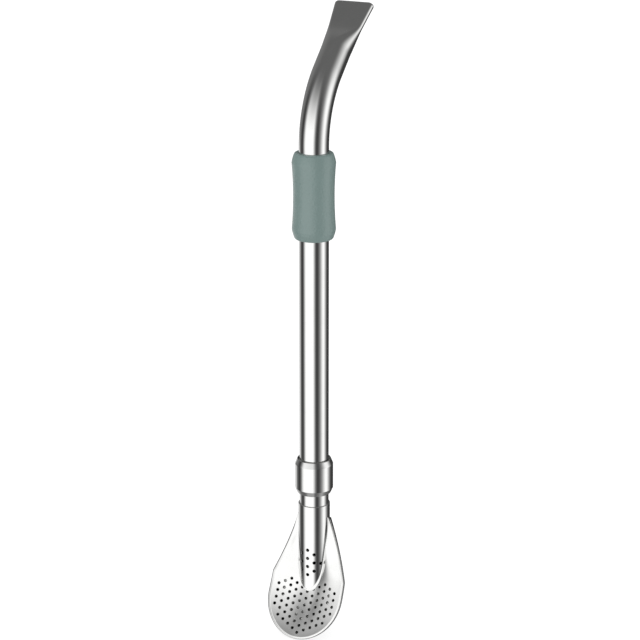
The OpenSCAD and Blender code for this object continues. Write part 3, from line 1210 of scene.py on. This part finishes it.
@dataclass
class Filter:
    """The strainer end: seal, stem, neck, perforated dish and back shell."""

    spoon: Spoon

    # Seal and stem
    floor_z: float = -HALF_BARE - 8.5
    flange_z: float = -HALF_BARE - 7.5
    straw_z: float = -HALF_BARE - 6.7
    flange_r: float = 4.30
    seal_r: float = 4.20
    stem_r: float = 4.0
    bore_r: float = 3.5
    stem_low_z: float = SHOULDER_Z - 1.8
    seal_inner_round: float = 0.15
    seal_outer_round: float = 0.25
    stem_round: float = 0.1
    root_round: float = 0.03
    floor_round: float = 0.08
    flange_round: float = 0.3

    # Neck
    neck_r: float = 4.36
    neck_wall: float = 0.36
    neck_z: float = SHOULDER_Z + 4.0
    neck_edge: float = 0.16
    neck_steps: int = 96
    back_cut: float = 4.2
    front_cut: float = 20.6
    cut_edge: float = 0.02

    # Holes
    hole_r: float = 0.36
    hole_edge: float = 0.11
    column_pitch: float = 1.7
    row_pitch: float = 1.88
    first_row: float = 21.5
    counts: tuple[int, ...] = (7, 7, 7, 7, 6, 4)
    starts: tuple[float, ...] = (0.0, -0.5, -1.0, -1.5, -1.0, -0.5)
    neck_hole_r: float = 0.47
    neck_hole_edge: float = 0.04
    neck_rows: int = 4
    neck_pitch: float = 2.46
    neck_drop: float = 8.9
    neck_angle: float = math.radians(25.0)
    side_step: float = 1.6

    # Brazed fillet: its size, its share at the shoulders and on the left, and its bed
    fillet: float = 0.5
    fillet_top: float = 0.4
    fillet_left: float = 0.2
    fillet_run: float = 4.0
    fillet_room: float = 0.5
    fillet_lift: float = 0.01
    fillet_root: float = 0.1
    fillet_steps: int = 10

    # Line where the neck goes through the dish, with the stretch that its tip lies in, and back shell
    joint_reach: Flat = (15.0, 25.0)
    joint_steps: int = 48
    back_steps: int = 26
    back_weld: float = 1e-3

    def build_union(self, finish: Finishes, lathe: Lathe) -> None:
        """Turns the seal ring and the stem with its rolled flange."""
        ring = [
            (self.bore_r, self.flange_z, self.seal_inner_round),
            (self.seal_r, self.flange_z, self.seal_outer_round),
            (self.seal_r, self.straw_z, self.seal_outer_round),
            (self.bore_r, self.straw_z, self.seal_inner_round),
        ]
        seal = lathe.spin("seal", rounded_profile(ring), finish.dark)
        hand_over(seal, Body.FILTER, Slot.SEAL_SILICONE, "seal_ring")
        corners = [
            (self.bore_r, self.stem_low_z, self.stem_round),
            (self.stem_r, self.stem_low_z, self.stem_round),
            (self.stem_r, self.floor_z, self.root_round),
            (self.flange_r, self.floor_z, self.floor_round),
            (self.flange_r, self.flange_z, self.flange_round),
            (self.bore_r, self.flange_z, self.flange_round),
        ]
        stem = lathe.spin("stem", rounded_profile(corners), finish.drawn)
        hand_over(stem, Body.FILTER, Slot.POLISHED_STEEL, "filter_stem")

    def neck_place(self, a: float, z: float, above: float) -> Point:
        """A point of the neck: distance round it from its front, height, distance above its face."""
        reach = self.neck_r + above
        turn = a / self.neck_r
        return (reach * math.sin(turn), -reach * math.cos(turn), z)

    def neck_facing(self, a: float, z: float) -> Vector:
        """Outward direction of the neck's face, the same at every height."""
        turn = a / self.neck_r
        return Vector((math.sin(turn), -math.cos(turn), 0.0))

    def neck_holes(self) -> list[Flat]:
        """Distance round the neck and height of each of its holes."""
        found = [(0.0, k) for k in range(self.neck_rows)]
        for side in (-self.neck_angle, self.neck_angle):
            found += [(side, k + 0.5) for k in range(self.neck_rows - 1)]
            found.append((2.0 * side, self.side_step))
        top = self.spoon.shoulder_z - self.neck_drop
        return [(turn * self.neck_r, top - row * self.neck_pitch) for turn, row in found]

    def build_neck(self, finish: Finishes, punch: GrownTree) -> None:
        """Rolls the neck from a flat sheet: round top edge, slanted foot, punched holes."""
        steps = self.neck_steps
        reach = math.pi * self.neck_r
        across = through(-reach, reach, steps)
        fall = (self.front_cut - self.back_cut) / (2.0 * self.neck_r)
        foot = []
        for a in across:
            y = -self.neck_r * math.cos(a / self.neck_r)
            foot.append((a, self.spoon.shoulder_z - self.back_cut + (y - self.neck_r) * fall))
        top = [(a, self.neck_z) for a in reversed(across)]
        inner = [(a, z + self.cut_edge) for a, z in foot] + [(a, z - self.neck_edge) for a, z in top]
        sheet = PunchedSheet(
            outline=foot + top,
            inner=inner,
            holes=self.neck_holes(),
            hole_radius=self.neck_hole_r,
            hole_edge=self.neck_hole_edge,
            thickness=self.neck_wall,
            open_edges={steps, 2 * steps + 1},
        )
        mesh, normals = sheet.build(punch, finish.drawn, self.neck_place, self.neck_facing)
        piece = finished("neck", mesh, finish.drawn)
        dressed_normals(piece, normals)
        hand_over(piece, Body.FILTER, Slot.POLISHED_STEEL, "neck_tube")

    def is_outside(self, u: float, v: float) -> bool:
        """True if a point of the dish is outside the neck."""
        x, y, _ = self.spoon.dish_place(u, v)
        return x * x + y * y >= self.neck_r ** 2

    def junction(self) -> list[Flat]:
        """The line where the neck goes through the dish, from its right shoulder round to its left."""
        tip = halved(*self.joint_reach, lambda v: self.is_outside(0.0, v))
        right = []
        for a in spread(0.0, QUARTER, self.joint_steps):
            v = tip * math.sin(a)
            right.append((halved(0.0, self.neck_r, lambda u: self.is_outside(u, v)), v))
        return right + [(0.0, tip)] + [(-u, v) for u, v in reversed(right)]

    def dish_holes(self) -> list[Flat]:
        """Place of each hole on the dish."""
        found = []
        last = len(self.counts) - 1
        for k in range(-last, last + 1):
            rows = [row + self.starts[abs(k)] for row in range(self.counts[abs(k)])]
            found += [(k * self.column_pitch, self.first_row + row * self.row_pitch) for row in rows]
        return found

    def fillet_size(self, u: float, v: float) -> float:
        """Size of the fillet, which is smaller near the shoulders and on the left."""
        spoon = self.spoon
        down = eased((v - spoon.lobe_v) / spoon.lobe_v)
        size = self.fillet * (self.fillet_top + (1.0 - self.fillet_top) * down)
        size = min(size, self.fillet_room * (spoon.rim_half(v) - abs(u)))
        return size * (self.fillet_left + (1.0 - self.fillet_left) * eased(0.5 + u / self.fillet_run))

    def add_fillet(self, work: BMesh) -> list[Vector]:
        """Adds the brazed fillet between the neck and the dish.

        Args:
            work: Mesh that gets the fillet.

        Returns:
            A normal for each point of the fillet.
        """
        spoon = self.spoon
        line = self.junction()
        rows = []
        normals = []
        for place, (u, v) in enumerate(line):
            ahead = Vector(spoon.dish_place(*line[min(place + 1, len(line) - 1)]))
            behind = Vector(spoon.dish_place(*line[max(place - 1, 0)]))
            here = Vector(spoon.dish_place(u, v))
            along = (ahead - behind).normalized()
            outward = Vector((here.x, here.y, 0.0)).normalized()
            face = spoon.dish_facing(u, v)
            size = self.fillet_size(u, v)
            on_dish = face.cross(along).normalized()
            if on_dish.dot(outward) < 0.0:
                on_dish = -on_dish
            on_neck = outward.cross(along).normalized()
            if on_neck.dot(face) < 0.0:
                on_neck = -on_neck
            foot_u = u + on_dish.dot(spoon.turn(1.0, 0.0, 0.0)) * size
            foot_v = v + on_dish.dot(spoon.turn(0.0, 1.0, 0.0)) * size
            foot = Vector(spoon.dish_place(foot_u, foot_v, self.fillet_lift))
            foot_face = spoon.dish_facing(foot_u, foot_v)
            head = here + on_neck * size
            head = Vector((*(Vector((head.x, head.y)).normalized() * self.neck_r), head.z))
            row = [here - (face + outward) * self.fillet_root]
            normals.append(-(face + outward).normalized())
            for k in range(self.fillet_steps + 1):
                t = k / self.fillet_steps
                normals.append((foot_face * (1.0 - t) + outward * t).normalized())
                row.append(foot * (1.0 - t) ** 2 + here * (2.0 * t * (1.0 - t)) + head * t * t)
            rows.append([tuple(p) for p in row])
        mesh = skin(rows, True)
        with edited(mesh) as part:
            face_outward(part)
        work.from_mesh(mesh)
        bpy.data.meshes.remove(mesh)
        return normals

    def build_dish(self, finish: Finishes, punch: GrownTree) -> None:
        """Presses the dish: rounded rim, punched holes, and a brazed fillet at the neck."""
        spoon = self.spoon
        rim = spoon.rim()
        cut = list(reversed(self.junction()))
        outline = rim + cut
        rounds = [spoon.edge_at(u, v) for u, v in rim] + [self.cut_edge] * len(cut)
        inner = []
        lip = []
        for k, (u, v) in enumerate(outline):
            before = outline[k - 1]
            after = outline[(k + 1) % len(outline)]
            run = Vector((after[0] - before[0], after[1] - before[1])).normalized()
            inner.append((u - run.y * rounds[k], v + run.x * rounds[k]))
            if k < len(rim) and v > spoon.lip_v:
                gaps = [spoon.lip_at(u) + bend * spoon.lip_bend for bend in (0.0, 0.5, 1.0)]
                lip += [(u - run.y * gap, v + run.x * gap) for gap in gaps]
        sheet = PunchedSheet(
            outline=outline,
            inner=inner,
            holes=self.dish_holes(),
            hole_radius=self.hole_r,
            hole_edge=self.hole_edge,
            thickness=spoon.sheet,
            extra=lip,
        )
        mesh, normals = sheet.build(punch, finish.satin, spoon.dish_place, spoon.dish_facing)
        with edited(mesh) as work:
            normals += self.add_fillet(work)
        piece = finished("dish", mesh, finish.satin)
        dressed_normals(piece, normals)
        hand_over(piece, Body.FILTER, Slot.SATIN_STEEL, "strainer_dish")

    def build_back(self, finish: Finishes) -> None:
        """Presses the closed back shell under the dish's rim."""
        spoon = self.spoon
        rows = []
        for u, v in spoon.rim():
            keel = min(v, spoon.wide_v)
            row = []
            for k in range(self.back_steps + 1):
                share = math.cos(QUARTER * k / self.back_steps)
                row.append(spoon.back_place(u * share, keel + (v - keel) * share, k == 0))
            rows.append(row)
        mesh = skin(rows, False)
        with edited(mesh) as work:
            bmesh.ops.remove_doubles(work, verts=work.verts, dist=self.back_weld)
            bmesh.ops.recalc_face_normals(work, faces=work.faces)
            deepest = max(work.faces, key=lambda face: face.calc_center_median().y)
            if deepest.normal.y < 0.0:
                bmesh.ops.reverse_faces(work, faces=work.faces)
        shell = placed("back_shell", mesh)
        wall = shell.modifiers.new("wall", "SOLIDIFY")
        wall.thickness = spoon.sheet
        wall.offset = -1.0
        piece = finished("spoon_back", baked(shell), finish.brushed)
        hand_over(piece, Body.FILTER, Slot.SATIN_STEEL, "bowl_back")


# The studio


def degrees(start: float, stop: float) -> Flat:
    """Two angles in radians, from degrees."""
    return math.radians(start), math.radians(stop)


WHITE: Colour = (1.0, 1.0, 1.0, 1.0)


@dataclass
class Studio:
    """Floor, light and camera."""

    view_turn: float = math.radians(25.0)
    camera: Point = (0.2263, -0.4853, 0.17935)
    aim: Point = (0.00147, 0.00068, 0.00845)
    lens: float = 117.56
    sensor: float = 36.0

    # Floor, in metres
    floor_gap: float = 0.0002
    floor_half: float = 6.0
    floor_grey: Colour = (0.3, 0.3, 0.3, 1.0)
    floor_glow: float = 0.8

    # Lamp
    key: float = 0.5
    lamp_spread: float = math.radians(50.0)
    lamp_from: Point = (-0.35, -0.55, 0.9)

    # Azimuth from the camera's side in degrees, to the right, and the brightness that metal sees there
    panels: tuple[Flat, ...] = (
        (-180.0, 0.20), (-128.0, 0.20), (-114.0, 0.11), (-101.0, 0.035), (-91.0, 0.09), (-81.0, 0.36),
        (-71.0, 0.95), (-62.0, 1.16), (-8.0, 1.16), (0.0, 0.72), (8.0, 0.24), (18.0, 0.055),
        (30.0, 0.06), (40.0, 0.16), (50.0, 0.34), (60.0, 0.68), (70.0, 1.03), (78.0, 1.16),
        (86.0, 1.0), (97.0, 0.55), (109.0, 0.2), (121.0, 0.05), (180.0, 0.04),
    )

    # Brightness of the room for matt surfaces, and of what metal sees above, below and behind
    ambient: float = 1.0
    ceiling: float = 0.13
    ground: float = 0.12
    ground_share: float = 0.22
    backdrop: float = 0.55

    # Where those start and stop: angles round the room, and heights from -1 below to 1 above
    ceiling_rise: Flat = (0.06, 0.98)
    ceiling_drop: float = 0.1
    ceiling_side: Flat = degrees(20.0, 55.0)
    ground_rise: Flat = (-0.45, -0.75)
    backdrop_start: Flat = degrees(-120.0, -145.0)
    backdrop_stop: Flat = degrees(-178.0, -160.0)
    backdrop_rise: Flat = (-0.10, -0.25)
    panel_lean: float = 0.02
    lean_side: Flat = degrees(75.0, 95.0)
    lean_rise: Flat = (-0.15, 0.1)

    def build_floor(self) -> None:
        """Lays a white floor that keeps the shadow, and goes down with the strainer that stands on it."""
        mesh = bpy.data.meshes.new("floor")
        low = CAD_BOX[0].z - self.floor_gap
        half = self.floor_half
        corners = [(-half, -half, low), (half, -half, low), (half, half, low), (-half, half, low)]
        mesh.from_pydata(corners, [], [(0, 1, 2, 3)])
        floor = placed("floor", mesh)
        material, _, shader = new_material("floor_white")
        shader.inputs["Base Color"].default_value = self.floor_grey
        shader.inputs["Roughness"].default_value = 1.0
        shader.inputs["Specular IOR Level"].default_value = 0.0
        shader.inputs["Emission Color"].default_value = WHITE
        shader.inputs["Emission Strength"].default_value = self.floor_glow
        mesh.materials.append(material)
        floor.visible_glossy = False
        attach(floor, Body.FILTER.value)

    def build_world(self) -> None:
        """Fills the room: plain light for matt surfaces, white panels and dark gaps for metal."""
        world = bpy.data.worlds.new("studio")
        bpy.context.scene.world = world
        world.use_nodes = True
        tree = world.node_tree
        tree.nodes.clear()
        place = tree.nodes.new("ShaderNodeTexCoord").outputs["Generated"]
        forward = (math.sin(self.view_turn), -math.cos(self.view_turn), 0.0)
        right = (math.cos(self.view_turn), math.sin(self.view_turn), 0.0)
        parts = []
        for axis in (right, forward, (0.0, 0.0, 1.0)):
            dot = add_node(tree, "ShaderNodeVectorMath", {0: place, 1: axis}, operation="DOT_PRODUCT")
            parts.append(Sum(tree, dot.outputs["Value"]))
        azimuth = parts[0].step("ARCTAN2", parts[1])
        height = parts[2]
        ramp = tree.nodes.new("ShaderNodeValToRGB")
        stops = ramp.color_ramp.elements
        while len(stops) < len(self.panels):
            stops.new(0.5)
        for stop, (angle, level) in zip(stops, self.panels):
            stop.position = angle / 360.0 + 0.5
            stop.color = (level, level, level, 1.0)
        lean = azimuth.share(self.lean_side) * height.share(self.lean_rise) * self.panel_lean
        tree.links.new((azimuth / FULL_TURN + 0.5 - lean).socket, ramp.inputs["Fac"])
        wall = Sum(tree, ramp.outputs["Color"])
        behind = azimuth.share(self.backdrop_start) * azimuth.share(self.backdrop_stop)
        wall = wall + behind * height.share(self.backdrop_rise) * self.backdrop
        low, high = self.ceiling_rise
        above = height.share((low, azimuth.share(self.ceiling_side) * -self.ceiling_drop + high))
        mirror = wall + (wall * -1.0 + self.ceiling) * above
        mirror = mirror + (wall * self.ground_share + self.ground - mirror) * height.share(self.ground_rise)
        glossy = Sum(tree, tree.nodes.new("ShaderNodeLightPath").outputs["Is Glossy Ray"])
        level = (mirror - self.ambient) * glossy + self.ambient
        light = add_node(tree, "ShaderNodeBackground", {"Strength": level, "Color": WHITE})
        add_node(tree, "ShaderNodeOutputWorld", {"Surface": light.outputs[0]})

    def build_lamp(self) -> None:
        """Hangs one broad soft lamp, high on the left."""
        lamp = bpy.data.lights.new("key_lamp", "SUN")
        lamp.energy = self.key
        lamp.angle = self.lamp_spread
        holder = placed("key_lamp", lamp)
        toward = Vector(self.lamp_from).normalized()
        holder.rotation_euler = toward.to_track_quat("Z", "Y").to_euler()
        holder.visible_glossy = False

    def build_camera(self) -> None:
        """Sets the camera where the photograph was taken from."""
        lens = bpy.data.cameras.new("camera")
        lens.lens = self.lens
        lens.sensor_width = self.sensor
        lens.clip_start = 0.01
        holder = placed("camera", lens)
        holder.location = self.camera
        look = Vector(self.aim) - Vector(self.camera)
        holder.rotation_euler = look.to_track_quat("-Z", "Y").to_euler()
        bpy.context.scene.camera = holder

    def build(self) -> None:
        """Builds the studio."""
        self.build_camera()
        self.build_floor()
        self.build_world()
        self.build_lamp()
        bpy.context.scene.view_settings.view_transform = "Standard"


def main() -> None:
    """Builds every sub-assembly, from the studio to the strainer."""
    logging.basicConfig(level=logging.INFO, format="%(name)s: %(message)s")
    Studio().build()
    finish = build_finishes()
    lathe = Lathe(turned_tree())
    punch = punched_tree()
    straw = Straw()
    straw.build_tube(finish)
    straw.build_bush(finish, lathe)
    Grip().build(finish, lathe)
    Nut().build(finish, lathe)
    strainer = Filter(Spoon())
    strainer.build_union(finish, lathe)
    strainer.build_neck(finish, punch)
    strainer.build_dish(finish, punch)
    strainer.build_back(finish)


if __name__ == "__main__":
    main()
